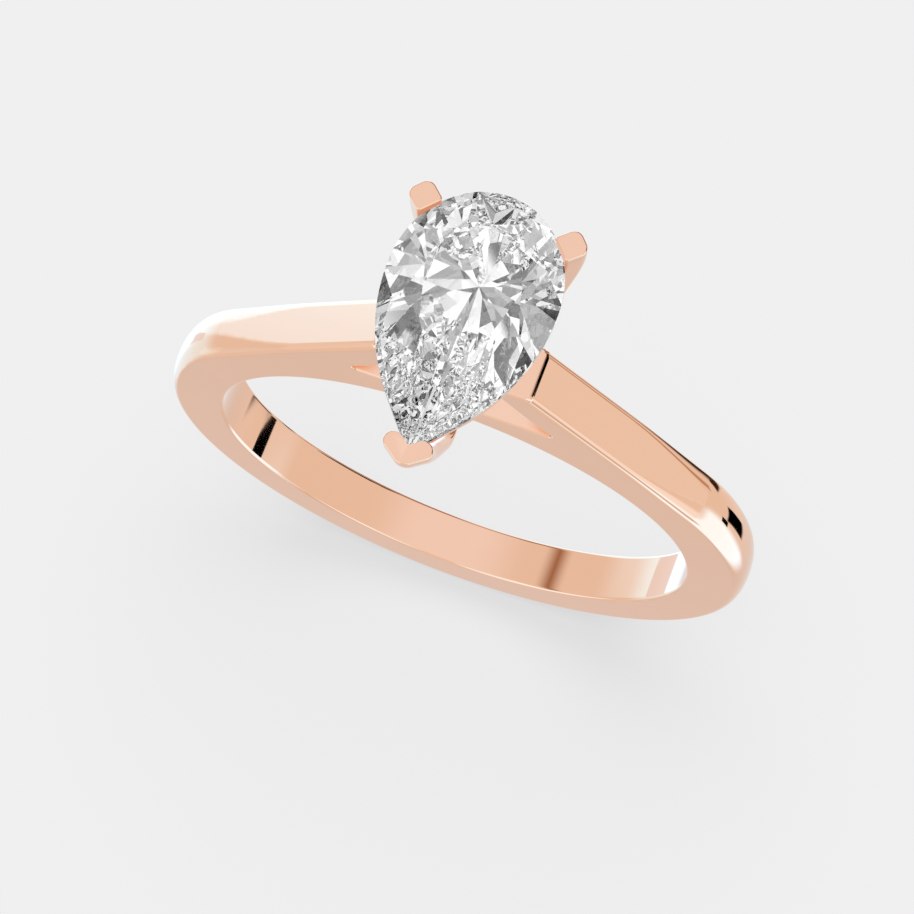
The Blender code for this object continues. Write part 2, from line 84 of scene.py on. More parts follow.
# Stone.
STONE_WIDTH = 5.38 * MM
STONE_BACK_Y = 4.15 * MM
STONE_TIP_Y = -4.55 * MM
STONE_CENTRE_Y = 1.00 * MM
FLANK_RADIUS = 6.40 * MM
GIRDLE_TOP_Z = 14.93 * MM
GIRDLE_THICKNESS = 0.16 * MM
CROWN_HEIGHT = 0.80 * MM
PAVILION_DEPTH = 2.32 * MM
CULET_X = 0.10 * MM
CULET_Y = 0.25 * MM
MAIN_DIRECTIONS = [math.radians(a) for a in (0, 45, 90, 120, 180)]
TABLE_SHARE = 0.56
STAR_GIRDLE_SHARE = 1.26
STAR_TABLE_SHARE = 0.52
UPPER_HALF_TABLE_SHARE = 0.65
LOWER_HALF_REACH = 1.02
HALF_FACET_SHARES = (0.25, 0.75)

# Head.
LOWER_RAIL_Z = 12.02 * MM
LOWER_RAIL_SCALE = 0.745
UPPER_RAIL_Z = 13.50 * MM
UPPER_RAIL_SCALE = 0.90
RAIL_HEIGHT = 0.45 * MM
RAIL_WALL = 0.45 * MM
RAIL_EDGE_RADIUS = 0.08 * MM
PEG_FOOT_RADIUS = 0.80 * MM
PEG_WAIST_RADIUS = 0.60 * MM
PEG_COLLAR_RADIUS = 0.78 * MM
PEG_COLLAR_Z = 10.00 * MM
PEG_TOP_Z = 10.72 * MM
PEG_EDGE_RADIUS = 0.08 * MM
CLAW_EDGE_RADIUS = 0.06 * MM
CLAW_DIRECTION = math.radians(42.5)
V_CLAW_ANGLE = math.radians(36.0)
V_CLAW_CORNER = 0.42 * MM
V_CLAW_INNER_CORNER = 0.10 * MM

# Claw sections in millimetres. Flat claws: height, reach from the stone's axis, depth, width,
# outer and inner corner radius. V claw: height, distance in front of the finger centre, length
# and width of the arms.
FLAT_CLAW_ROWS = [
    (15.26, 3.62, 0.80, 0.86, 0.30, 0.10),
    (14.95, 3.62, 0.80, 0.86, 0.30, 0.10),
    (14.30, 3.57, 0.80, 0.80, 0.28, 0.12),
    (11.90, 2.94, 0.80, 0.60, 0.22, 0.14),
]
FLAT_CLAW_FOOT = (10.36, 0.78, 0.54, 0.50, 0.18, 0.14)
FLAT_CLAW_FOOT_DIRECTION = math.radians(50.0)
V_CLAW_ROWS = [
    (15.26, 4.81, 0.59, 0.59),
    (14.95, 4.78, 0.59, 0.59),
    (14.20, 4.54, 0.60, 0.57),
    (11.90, 3.36, 0.60, 0.52),
]
V_CLAW_FOOT = (10.36, 0.56, 0.24, 0.42)
LEG_BEND = 1.20 * MM
FOOT_LEAN = math.radians(75.0)

# Fineness of the meshes.
ARC_STEP = math.radians(1.0)
SLOPE_STEPS = 24
FILLET_STEP = math.radians(6.0)
EDGE_SEGMENTS = 8
EDGE_ZONE = 0.42 * MM
EDGE_LEVELS = 13
DOME_LEVELS = 12
PEAR_STEPS = 144
PEG_STEPS = 96
PEG_SIDE_STEPS = 12
PEG_EDGE_STEP = math.radians(12.0)
CORNER_STEPS = 8
CLAW_ROW_STEPS = 8
CLAW_TOP_STEPS = 6
LEG_BEND_STEPS = 14
FLOOR_SIDES = 96

# Tolerances: the gap round the seated stone, edges short enough to drop, and points close enough
# to count as being on a line or a plane.
SEAT_GAP = 0.005 * MM
SLIVER = 0.0002 * MM
CLOSE = 0.004 * MM
ON_PLANE = 1e-8

# Limits of the turn between two sides or faces: merged as level, moved as one smooth line, shaded
# sharp before the piece is settled, shaded as one surface after it, and bevelled.
LEVEL_ANGLE = math.radians(0.05)
SMOOTH_COSINE = math.cos(math.radians(20.0))
SHARP_ANGLE = math.radians(30.0)
SOFT_COSINE = math.cos(math.radians(35.0))
BEVEL_ANGLE = math.radians(40.0)

# Camera: where it stands, seen from the finger centre, and how wide and how deep it sees.
CAMERA_AZIMUTH = math.radians(20.48)
CAMERA_ELEVATION = math.radians(71.6)
CAMERA_DISTANCE = 92.27 * MM
CAMERA_RIGHT = -0.132 * MM
CAMERA_UP = 0.521 * MM
CAMERA_LENS = 103.29
CAMERA_SENSOR = 36.0
CAMERA_CLIP_FACTOR = 100

# Materials: colours in linear light, and scales in features per metre.
GOLD = (0.845, 0.508, 0.342)
GOLD_DEEP = (0.835, 0.500, 0.336)
GOLD_WORN = (0.875, 0.545, 0.375)
# Painted reflection and shade: the deep orange painted where gold lies close to gold, in place of
# the gold mirroring itself there.
GOLD_PAINTED_BOUNCE = (0.80, 0.24, 0.07)
PAINTED_BOUNCE_REACH = 0.9 * MM
PAINTED_BOUNCE_RANGE = (0.90, 0.35)
GOLD_ROUGHNESS = (0.030, 0.045)
WORN_ROUGHNESS = 0.05
EDGE_WEAR_RANGE = (0.53, 0.62)
CLOUD_SCALE = 400.0
CLOUD_RANGE = (0.3, 0.7)
CLOUD_DETAIL = 3.0
GRAIN_SCALE = 9000.0
GRAIN_DETAIL = 2.0
GRAIN_STRENGTH = 0.04
GRAIN_DEPTH = 0.002 * MM
STONE_CLEAR = (1.0, 1.0, 1.0)
STONE_TINT = (0.985, 0.99, 1.0)
STONE_ROUGHNESS = (0.0, 0.002)
STONE_CLOUD_DETAIL = 2.0
STONE_GRAIN_DETAIL = 0.0
STONE_GRAIN_STRENGTH = 0.002
STONE_IOR = 2.417

# The studio, in linear light.
BACKDROP = (0.871, 0.871, 0.871)
FLOOR_WHITE = 0.8
FLOOR_RADIUS = 0.5
LAMP_SHARE = 0.21
ROOM_SHARE = 0.02
LAMP_SIZE = math.radians(60.0)
LAMP_AZIMUTH = math.radians(-20.0)
LAMP_ELEVATION = math.radians(80.0)
STUDIO_WALL = (0.96, 0.96, 0.96)
STUDIO_CEILING = (1.05, 1.13, 1.26)
STUDIO_CEILING_RANGE = (45.0, 70.0)
STUDIO_GROUND = (0.84, 0.83, 0.83)
STUDIO_GROUND_RANGE = (-40.0, -65.0)

# Cards in the studio: middle, half width and softness in azimuth, then in elevation, in degrees;
# how far the card leans, in degrees of azimuth per degree of elevation; and its colour. A later
# card lies over an earlier one.
STUDIO_CARDS = [
    (-12.0, 46.0, 4.0, 33.0, 14.0, 3.0, 0.0, (0.50, 0.34, 0.24)),
    (16.0, 21.0, 4.0, 8.0, 38.0, 5.0, 0.0, (0.45, 0.29, 0.19)),
    (140.0, 28.0, 5.0, 32.0, 18.0, 3.0, 0.0, (1.20, 1.65, 2.05)),
    (-142.0, 28.0, 5.0, 20.0, 30.0, 3.0, 0.0, (1.20, 1.65, 2.05)),
    (-82.0, 34.0, 14.0, -42.0, 22.0, 8.0, 0.0, (1.00, 1.35, 1.60)),
    (-40.0, 31.0, 8.0, -30.0, 31.0, 9.0, 0.0, (1.20, 1.85, 2.50)),
    (-71.6, 4.0, 0.3, -38.2, 8.7, 0.5, -0.36, (1.00, 1.12, 1.30)),
    (113.5, 36.5, 6.0, -28.0, 25.0, 6.0, 0.0, (1.20, 1.85, 2.50)),
    (108.0, 13.0, 5.0, 3.0, 7.0, 3.0, 0.0, (1.16, 1.32, 1.50)),
    (143.0, 18.0, 3.0, -6.0, 12.0, 3.0, 0.0, (0.78, 0.75, 0.72)),
    (-71.0, 40.0, 10.0, 33.0, 3.0, 5.0, 0.0, (0.36, 0.16, 0.06)),
    (55.8, 13.3, 0.2, 25.5, 16.5, 1.0, -0.15, (0.0, 0.0, 0.0)),
    (51.0, 11.0, 0.5, 44.0, 5.0, 2.0, 0.0, (0.0, 0.0, 0.0)),
    (56.0, 6.0, 1.0, -3.0, 5.0, 1.0, 0.0, (0.60, 0.42, 0.30)),
    (34.0, 5.2, 1.5, -31.0, 12.7, 2.0, 1.17, (0.04, 0.02, 0.01)),
    (62.8, 5.8, 0.6, -36.5, 9.5, 1.5, 0.28, (0.0, 0.0, 0.0)),
    (74.4, 2.8, 0.2, -24.6, 4.1, 0.2, 0.0, (0.0, 0.0, 0.0)),
]

# The room that the stone sees, with scales in features per radian.
STONE_ROOM_SCALE = 3.0
STONE_ROOM_DETAIL = 2.0
STONE_ROOM_LIGHT = (1.18, 1.18, 1.18)
STONE_ROOM_GREY = (0.30, 0.30, 0.30)
STONE_ROOM_SHADES = (0.40, 0.58)
STONE_GAP_SCALE = 4.5
STONE_GAP_DETAIL = 1.0
STONE_GAP_RANGE = (0.43, 0.415)
LIGHT_BOUNCES = 32


# ---------------------------------------------------------------- outlines


def arc(centre, radius, start, end, step=ARC_STEP):
    """Points along an arc in a plane, with both ends and the middle included."""
    count = 2 * math.ceil(abs(end - start) / step / 2)
    angles = [start + (end - start) * i / count for i in range(count + 1)]
    return [(centre[0] + radius * math.cos(a), centre[1] + radius * math.sin(a)) for a in angles]


def between(first, second, share):
    return tuple(a + (b - a) * share for a, b in zip(first, second))


def steps_between(first, second, count):
    """Points that divide a straight run into equal steps, without its ends."""
    return [between(first, second, i / count) for i in range(1, count)]


def slope_blend():
    """Centre of the arc that joins the hoop to the slope, and the angle where it starts."""
    distance = OUTER_RADIUS - SLOPE_BLEND_RADIUS
    start = SLOPE_ANGLE - math.acos((SLOPE_DISTANCE - SLOPE_BLEND_RADIUS) / distance)
    return (distance * math.cos(start), distance * math.sin(start)), start


def crest_height():
    """Height at which the slope passes over the crest."""
    return (SLOPE_DISTANCE - CREST_X * math.cos(SLOPE_ANGLE)) / math.sin(SLOPE_ANGLE)


def bridge_seam_angle():
    return math.atan2(BRIDGE_TOP_Z, WINDOW_END_X)


def shank_outline():
    start = slope_blend()[1]
    end = -math.pi - start
    return arc((0, 0), OUTER_RADIUS, start, end) + arc((0, 0), FINGER_RADIUS, end, start)


def shoulder_outline():
    """The right shoulder seen along the finger: bore, window, tip, crest, slope and blend."""
    blend_centre, start = slope_blend()
    bore = arc((0, 0), FINGER_RADIUS, start, bridge_seam_angle())
    window_centre = (WINDOW_END_X, BRIDGE_TOP_Z + WINDOW_END_RADIUS)
    window = arc(window_centre, WINDOW_END_RADIUS, -math.pi / 2, SLOPE_ANGLE, FILLET_STEP)
    turn_rise = (window[-1][0] - WINDOW_TURN_X) / math.tan(SLOPE_ANGLE)
    crest_z = crest_height()
    inner_side = [
        (WINDOW_TURN_X, window[-1][1] + turn_rise),
        (SHOULDER_TIP_X, crest_z - SHOULDER_TIP_DEPTH),
        (SHOULDER_TIP_X, crest_z),
    ]
    crest_run = CREST_RADIUS * math.tan(SLOPE_ANGLE / 2)
    crest_centre = (CREST_X - crest_run, crest_z - CREST_RADIUS)
    crest = arc(crest_centre, CREST_RADIUS, math.pi / 2, SLOPE_ANGLE, FILLET_STEP)
    blend = arc(blend_centre, SLOPE_BLEND_RADIUS, SLOPE_ANGLE, start)
    slope = steps_between(crest[-1], blend[0], SLOPE_STEPS)
    return bore + window + inner_side + crest + slope + blend


def bridge_outline():
    seam = bridge_seam_angle()
    bore = arc((0, 0), FINGER_RADIUS, seam, math.pi - seam)
    return bore + [(-WINDOW_END_X, BRIDGE_TOP_Z), (WINDOW_END_X, BRIDGE_TOP_Z)]


def pear_outline(scale=1.0, grow=0.0):
    """The girdle from above: half an ellipse at the back, then two arcs that run straight at the
    point, each tangent to its straight run."""
    half = STONE_WIDTH / 2 * scale + grow
    back = (STONE_BACK_Y - STONE_CENTRE_Y) * scale + grow
    front = (STONE_CENTRE_Y - STONE_TIP_Y) * scale + grow
    radius = FLANK_RADIUS * scale + grow
    inset = radius - half
    sweep = math.atan2(front, inset) - math.acos(radius / math.hypot(front, inset))
    round_steps = PEAR_STEPS // 2
    flank_steps = PEAR_STEPS // 4
    round_end = []
    for i in range(round_steps):
        angle = math.pi * i / round_steps
        round_end.append((half * math.cos(angle), STONE_CENTRE_Y + back * math.sin(angle)))
    flank = []
    for i in range(flank_steps):
        angle = sweep * i / (flank_steps - 1)
        flank.append((radius * math.cos(angle) - inset, STONE_CENTRE_Y - radius * math.sin(angle)))
    left = [(-x, y) for x, y in flank]
    point = (0.0, STONE_CENTRE_Y - front)
    return round_end + left + [point] + flank[:0:-1]


def rounded_plate(length, width, outer_corner, inner_corner):
    """A flat claw's section: softer corners on its outer side (+x)."""
    half_length = length / 2
    half_width = width / 2
    corners = [
        (half_length, half_width, outer_corner, 0.0),
        (-half_length, half_width, inner_corner, math.pi / 2),
        (-half_length, -half_width, inner_corner, math.pi),
        (half_length, -half_width, outer_corner, 1.5 * math.pi),
    ]
    points = []
    for x, y, corner, start in corners:
        centre = (x - math.copysign(corner, x), y - math.copysign(corner, y))
        points += arc(centre, corner, start, start + math.pi / 2, math.pi / 2 / CORNER_STEPS)
    return points


def chevron(arm, width):
    """The V claw's section: two arms with round ends, a rounded outer corner at -y and a small
    rounded inner corner."""
    half = width / 2
    end_centre = (arm * math.cos(V_CLAW_ANGLE), arm * math.sin(V_CLAW_ANGLE))
    across = V_CLAW_ANGLE - math.pi / 2
    cap = arc(end_centre, half, across, across + math.pi, math.pi / 2 / CORNER_STEPS)
    nose_centre = (0, (V_CLAW_CORNER - half) / math.cos(V_CLAW_ANGLE))
    corner_step = V_CLAW_ANGLE / CORNER_STEPS
    nose = arc(nose_centre, V_CLAW_CORNER, -math.pi / 2, across, corner_step)
    inner_centre = (0, (half + V_CLAW_INNER_CORNER) / math.cos(V_CLAW_ANGLE))
    inner = arc(inner_centre, V_CLAW_INNER_CORNER, across, -math.pi / 2, corner_step)
    right = nose + cap + inner
    left = [(-x, y) for x, y in reversed(right)]
    return right + left[1:-1]


# ---------------------------------------------------------------- solids


def join_loops(bm, first, second):
    count = len(first)
    for i in range(count):
        j = (i + 1) % count
        bm.faces.new((first[i], first[j], second[j], second[i]))


def loft_sections(bm, sections):
    """Skin a row of closed sections that share one point count, and cap both ends."""
    loops = [[bm.verts.new(p) for p in section] for section in sections]
    for first, second in zip(loops, loops[1:]):
        join_loops(bm, first, second)
    bm.faces.new(loops[0])
    bm.faces.new(loops[-1])


def width_levels():
    """Places across the band, dense near both edges, as distances from the middle."""
    half = BAND_WIDTH / 2
    near_edge = [half - EDGE_ZONE * (i / EDGE_LEVELS) ** 2 for i in range(EDGE_LEVELS + 1)]
    inner = half - EDGE_ZONE
    middle = [inner - 2 * inner * i / DOME_LEVELS for i in range(1, DOME_LEVELS)]
    return near_edge + middle + [-y for y in reversed(near_edge)]


def edge_drop(y, width, depth):
    """How far a side of the band falls away at y, with elliptical edges of this width and depth."""
    into_edge = abs(y) - (BAND_WIDTH / 2 - width)
    if width <= 0 or into_edge <= 0:
        return 0.0
    return depth * (1 - math.sqrt(max(0.0, 1 - (into_edge / width) ** 2)))


def side_normals(points):
    """Outward normal of each side of a closed outline."""
    pairs = list(zip(points, points[1:] + points[:1]))
    area = sum(x1 * z2 - x2 * z1 for (x1, z1), (x2, z2) in pairs)
    turn = math.copysign(1.0, area)
    return [Vector((z2 - z1, x1 - x2)).normalized() * turn for (x1, z1), (x2, z2) in pairs]


def shrink(points, normals, drops):
    """Move every side of an outline inwards by its own distance."""
    moved = []
    for i, (x, z) in enumerate(points):
        first, second = normals[i - 1], normals[i]
        along = first.dot(second)
        if along > SMOOTH_COSINE:
            shift = (first + second).normalized() * ((drops[i - 1] + drops[i]) / 2)
        else:
            one = (drops[i - 1] - along * drops[i]) / (1 - along**2)
            two = (drops[i] - along * drops[i - 1]) / (1 - along**2)
            shift = first * one + second * two
        moved.append((x - shift.x, z - shift.y))
    return moved


def band_solid(points, edge_at):
    """A plate across the band, whose long edges are rounded as edge_at says for every side."""
    normals = side_normals(points)
    pairs = zip(points, points[1:] + points[:1])
    edges = [edge_at(((x1 + x2) / 2, (z1 + z2) / 2)) for (x1, z1), (x2, z2) in pairs]
    bm = bmesh.new()
    loops = []
    for y in width_levels():
        drops = [edge_drop(y, width, depth) for width, depth in edges]
        loops.append([(x, y, z) for x, z in shrink(points, normals, drops)])
    loft_sections(bm, loops)
    return bm


def solid_plate(outline, low, high):
    bm = bmesh.new()
    loft_sections(bm, [[(x, y, z) for x, y in outline] for z in (low, high)])
    return bm


def ring_plate(outer, inner, low, high):
    """A flat rail from two outlines in the XY plane with the same number of points."""
    bm = bmesh.new()
    loops = []
    for outline, z in ((outer, low), (outer, high), (inner, high), (inner, low)):
        loops.append([bm.verts.new((x, y, z)) for x, y in outline])
    for first, second in zip(loops, loops[1:] + loops[:1]):
        join_loops(bm, first, second)
    return bm


def turned(profile, steps):
    """A solid of revolution about Z from a profile that starts and ends on the axis."""
    bm = bmesh.new()
    rings = []
    for radius, z in profile[1:-1]:
        ring = []
        for i in range(steps):
            angle = 2 * math.pi * i / steps
            ring.append(bm.verts.new((radius * math.cos(angle), radius * math.sin(angle), z)))
        rings.append(ring)
    for first, second in zip(rings, rings[1:]):
        join_loops(bm, first, second)
    for end, ring in ((profile[0], rings[0]), (profile[-1], rings[-1])):
        tip = bm.verts.new((0, 0, end[1]))
        for i in range(steps):
            bm.faces.new((tip, ring[i], ring[(i + 1) % steps]))
    return bm


def new_piece(name, bm, material):
    """Turn a finished bmesh into an object at the finger centre."""
    bmesh.ops.recalc_face_normals(bm, faces=bm.faces)
    mesh = bpy.data.meshes.new(name)
    bm.to_mesh(mesh)
    bm.free()
    mesh.shade_smooth()
    mesh.set_sharp_from_angle(angle=SHARP_ANGLE)
    if material is not None:
        mesh.materials.append(material)
    piece = bpy.data.objects.new(name, mesh)
    piece.location = finger_centre()
    bpy.context.scene.collection.objects.link(piece)
    return piece


def round_edges(piece, width):
    bevel = piece.modifiers.new("soft_edges", "BEVEL")
    bevel.width = width
    bevel.segments = EDGE_SEGMENTS
    bevel.limit_method = "ANGLE"
    bevel.angle_limit = BEVEL_ANGLE
    bevel.use_clamp_overlap = False


def cut_away(piece, cutter):
    boolean = piece.modifiers.new("cut_by_" + cutter.name, "BOOLEAN")
    boolean.operation = "DIFFERENCE"
    boolean.solver = "EXACT"
    boolean.object = cutter


def settle(piece):
    """Turn a piece's modifiers into its mesh, and shade it so that its flats stay flat."""
    graph = bpy.context.evaluated_depsgraph_get()
    bm = bmesh.new()
    bm.from_object(piece, graph)
    bmesh.ops.dissolve_degenerate(bm, dist=SLIVER, edges=bm.edges)
    bmesh.ops.dissolve_limit(bm, angle_limit=LEVEL_ANGLE, verts=bm.verts, edges=bm.edges)
    piece.modifiers.clear()
    bm.to_mesh(piece.data)
    shade_by_area(piece.data, bm)
    bm.free()


def shade_by_area(mesh, bm):
    """Shade each corner by the faces that meet there within a soft angle, counted by area."""
    normals = []
    for face in bm.faces:
        for corner in face.loops:
            total = Vector()
            for other in corner.vert.link_faces:
                if other.normal.dot(face.normal) > SOFT_COSINE:
                    total += other.normal * other.calc_area()
            normals.append(total.normalized())
    mesh.shade_smooth()
    mesh.normals_split_custom_set(normals)


def finger_centre():
    """The centre of the finger hole, from where the shank sits in the frame."""
    low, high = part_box("shank")
    return Vector((0.0, (low.y + high.y) / 2, low.z + OUTER_RADIUS))


def stand_for(piece, node, slot):
    """Put a piece in a CAD node's place. Metal is left out of what other pieces mirror or show
    through, so that polished gold mirrors the studio only."""
    piece.visible_transmission = slot != METAL_SLOT
    piece.visible_glossy = slot != METAL_SLOT
    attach(piece, "root")
    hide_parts(node)


# ---------------------------------------------------------------- band


def is_on_bore(point):
    return math.hypot(*point) < FINGER_RADIUS + CLOSE


def round_edge(radius):
    return radius, radius


def hoop_edge(point):
    """Width and depth of the edge rounding on one side of the hoop."""
    if is_on_bore(point):
        return round_edge(BORE_EDGE_RADIUS)
    if math.hypot(*point) > OUTER_RADIUS - CLOSE:
        return HOOP_EDGE_WIDTH, HOOP_EDGE_DEPTH
    return round_edge(0.0)


def shoulder_edge(point):
    """The slope has narrow round edges, which widen into the hoop's dome towards the blend."""
    x, z = point
    centre, start = slope_blend()
    hoop_end_x = OUTER_RADIUS * math.cos(start)
    from_blend = math.hypot(x - centre[0], z - centre[1]) - SLOPE_BLEND_RADIUS
    from_slope = SLOPE_DISTANCE - x * math.cos(SLOPE_ANGLE) - z * math.sin(SLOPE_ANGLE)
    blend_end_x = centre[0] + SLOPE_BLEND_RADIUS * math.cos(SLOPE_ANGLE)
    on_blend = abs(from_blend) < CLOSE and x > blend_end_x
    on_slope = abs(from_slope) < CLOSE and x > CREST_X
    if is_on_bore(point):
        return round_edge(BORE_EDGE_RADIUS)
    if on_slope or on_blend:
        share = max(0.0, (x - WIDENING_X) / (hoop_end_x - WIDENING_X))
        eased = share**2 * (3 - 2 * share)
        return between(round_edge(SLOPE_EDGE_RADIUS), (HOOP_EDGE_WIDTH, HOOP_EDGE_DEPTH), eased)
    if crest_height() - z < CLOSE:
        return round_edge(CREST_EDGE_RADIUS)
    if x > CREST_X - CREST_RADIUS and from_slope < CREST_RADIUS / 2:
        return round_edge((CREST_EDGE_RADIUS + SLOPE_EDGE_RADIUS) / 2)
    if z > BRIDGE_TOP_Z - CLOSE:
        return round_edge(WINDOW_EDGE_RADIUS)
    return round_edge(0.0)


def bridge_edge(point):
    if is_on_bore(point):
        return round_edge(BORE_EDGE_RADIUS)
    if point[1] > BRIDGE_TOP_Z - CLOSE:
        return round_edge(BRIDGE_EDGE_RADIUS)
    return round_edge(0.0)


def build_band(gold, rail_place):
    piece = new_piece("polished_shank", band_solid(shank_outline(), hoop_edge), gold)
    settle(piece)
    stand_for(piece, "shank", METAL_SLOT)

    piece = new_piece("polished_bridge", band_solid(bridge_outline(), bridge_edge), gold)
    settle(piece)
    stand_for(piece, "finger_bridge", METAL_SLOT)

    for side, turn in (("right", 0.0), ("left", math.pi)):
        shoulder = band_solid(shoulder_outline(), shoulder_edge)
        piece = new_piece("polished_shoulder_" + side, shoulder, gold)
        piece.rotation_euler.z = turn
        cut_away(piece, rail_place)
        settle(piece)
        stand_for(piece, "shoulder_" + side, METAL_SLOT)


# ---------------------------------------------------------------- head


def build_peg(gold):
    """The turned peg that stands on the bridge and carries the feet of the claws."""
    edge = PEG_EDGE_RADIUS
    collar = PEG_COLLAR_RADIUS
    top = arc((collar - edge, PEG_TOP_Z - edge), edge, math.pi / 2, 0.0, PEG_EDGE_STEP)
    profile = [(0, PEG_TOP_Z)] + top
    for i in range(PEG_SIDE_STEPS + 1):
        share = i / PEG_SIDE_STEPS
        sway = math.sin(math.pi * share)
        edge_radius = collar + (PEG_FOOT_RADIUS - collar) * share
        radius = edge_radius - (edge_radius - PEG_WAIST_RADIUS) * sway
        profile.append((radius, PEG_COLLAR_Z + (BRIDGE_TOP_Z - PEG_COLLAR_Z) * share))
    profile.append((0, BRIDGE_TOP_Z))
    piece = new_piece("polished_peg", turned(profile, PEG_STEPS), gold)
    stand_for(piece, "head_peg", METAL_SLOT)


def build_rail(name, node, scale, middle_z, gold):
    low = middle_z - RAIL_HEIGHT / 2
    high = middle_z + RAIL_HEIGHT / 2
    bm = ring_plate(pear_outline(scale), pear_outline(scale, -RAIL_WALL), low, high)
    piece = new_piece(name, bm, gold)
    round_edges(piece, RAIL_EDGE_RADIUS)
    settle(piece)
    stand_for(piece, node, METAL_SLOT)


def rail_cutter(name, scale, middle_z):
    low = middle_z - RAIL_HEIGHT / 2
    high = middle_z + RAIL_HEIGHT / 2
    return new_piece(name, solid_plate(pear_outline(scale), low, high), None)


def claw_section(row, direction, origin, lean=0.0):
    """A flat claw's section in space, square to its direction from an origin."""
    height, reach, depth, width, outer_corner, inner_corner = row
    middle = reach - depth / 2
    points = []
    for outward, across in rounded_plate(depth, width, outer_corner, inner_corner):
        along = middle + outward * math.cos(lean)
        x = origin[0] + along * math.cos(direction) - across * math.sin(direction)
        y = origin[1] + along * math.sin(direction) + across * math.cos(direction)
        points.append(Vector((x, y, height - outward * math.sin(lean))))
    return points


def v_section(row, lean=0.0):
    """The V claw's section in space."""
    height, distance, arm, width = row
    points = []
    for x, y in chevron(arm, width):
        points.append(Vector((x, y * math.cos(lean) - distance, height + y * math.sin(lean))))
    return points


def in_metres(row):
    return tuple(value * MM for value in row)


def smooth_rows(rows):
    """More rows between the given ones, on a curve that passes through each of them."""
    padded = [rows[0]] + rows + [rows[-1]]
    fine = []
    for before, start, end, after in zip(padded, padded[1:], padded[2:], padded[3:]):
        start_slopes, end_slopes = row_slopes(before, start, end, after)
        for i in range(CLAW_ROW_STEPS):
            t = i / CLAW_ROW_STEPS
            values = zip(start, end, start_slopes, end_slopes)
            fine.append(tuple(hermite(*value, t) for value in values))
    fine.append(rows[-1])
    return fine


def row_slopes(before, start, end, after):
    """Slopes of every value at the two middle rows, for a curve drawn over height."""
    span = end[0] - start[0]
    first = []
    second = []
    for a, b, c, d in zip(before, start, end, after):
        inner = (c - b) / span
        outer = (b - a) / (start[0] - before[0]) if start[0] != before[0] else inner
        next_outer = (d - c) / (after[0] - end[0]) if after[0] != end[0] else inner
        first.append((inner + outer) / 2 * span)
        second.append((inner + next_outer) / 2 * span)
    return first, second


def hermite(start, end, start_slope, end_slope, t):
    """A value on the way from start to end, on a curve with a given slope at each of them."""
    lift = t * t * (3 - 2 * t)
    rise = start + (end - start) * lift
    return rise + start_slope * t * (1 - t) ** 2 - end_slope * t * t * (1 - t)


def rounded_top(section):
    """The soft edge round a claw's top: sections drawn in and raised along a quarter circle."""
    middle = sum(section, Vector()) / len(section)
    size = max((p - middle).length for p in section)
    low = section[0].z
    sections = []
    for i in range(CLAW_TOP_STEPS, 0, -1):
        angle = math.pi / 2 * i / CLAW_TOP_STEPS
        share = 1 - CLAW_EDGE_RADIUS * (1 - math.cos(angle)) / size
        z = low + CLAW_EDGE_RADIUS * math.sin(angle)
        ring = [middle + (p - middle) * share for p in section]
        sections.append([Vector((p.x, p.y, z)) for p in ring])
    return sections


def bend_to_foot(upper, lower, foot):
    """Sections that carry a leg from the lower rail round a soft bend to its foot."""
    drop = upper[0].z - lower[0].z
    sections = []
    for i in range(1, LEG_BEND_STEPS + 1):
        t = i / LEG_BEND_STEPS
        section = []
        for before, start, end in zip(upper, lower, foot):
            control = start + (start - before) * (LEG_BEND / drop)
            section.append(start * (1 - t) ** 2 + control * (2 * t * (1 - t)) + end * t**2)
        sections.append(section)
    return sections


def build_claw(name, node, sections, foot, cutters, gold):
    """Skin a claw from its tab to its foot, then cut what it makes room for."""
    top = rounded_top(sections[0])
    leg = bend_to_foot(sections[-2], sections[-1], foot)
    bm = bmesh.new()
    loft_sections(bm, top + sections + leg)
    piece = new_piece(name, bm, gold)
    for cutter in cutters:
        cut_away(piece, cutter)
    settle(piece)
    stand_for(piece, node, METAL_SLOT)


def build_claws(cutters, gold):
    stone_axis = (0.0, STONE_CENTRE_Y)
    rows = smooth_rows([in_metres(row) for row in FLAT_CLAW_ROWS])
    for side, sign in (("right", 1), ("left", -1)):
        direction = math.pi / 2 - sign * (math.pi / 2 - CLAW_DIRECTION)
        foot_direction = math.pi / 2 - sign * (math.pi / 2 - FLAT_CLAW_FOOT_DIRECTION)
        sections = [claw_section(row, direction, stone_axis) for row in rows]
        foot = claw_section(in_metres(FLAT_CLAW_FOOT), foot_direction, (0.0, 0.0), FOOT_LEAN)
        build_claw("polished_claw_" + side, "claw_" + side, sections, foot, cutters, gold)
    rows = smooth_rows([in_metres(row) for row in V_CLAW_ROWS])
    sections = [v_section(row) for row in rows]
    foot = v_section(in_metres(V_CLAW_FOOT), FOOT_LEAN)
    build_claw("polished_v_claw", "v_claw", sections, foot, cutters, gold)


# ---------------------------------------------------------------- stone


def support(outline, direction):
    """How far the outline reaches from the stone's axis in a direction, measured from +Y."""
    x, y = math.sin(direction), math.cos(direction)
    return max(px * x + (py - STONE_CENTRE_Y) * y for px, py in outline)


def grind(bm, direction, height_a, distance_a, height_b, distance_b, grow):
    """Grind one facet: its plane passes at two distances from the axis, at two heights."""
    x, y = math.sin(direction), math.cos(direction)
    rise = height_b - height_a
    run = distance_b - distance_a
    outward, upward = (rise, -run) if rise > 0 else (-rise, run)
    normal = Vector((x * outward, y * outward, upward)).normalized()
    point = Vector((x * distance_a, STONE_CENTRE_Y + y * distance_a, height_a)) + normal * grow
    slice_off(bm, point, normal)


def slice_off(bm, point, normal):
    """Remove what lies beyond a plane and close the cut with one flat face."""
    geometry = bm.verts[:] + bm.edges[:] + bm.faces[:]
    cut = bmesh.ops.bisect_plane(
        bm, geom=geometry, dist=ON_PLANE, plane_co=point, plane_no=normal, clear_outer=True
    )
    rim = [e for e in cut["geom_cut"] if isinstance(e, bmesh.types.BMEdge) and e.is_boundary]
    if rim:
        bmesh.ops.holes_fill(bm, edges=rim, sides=0)


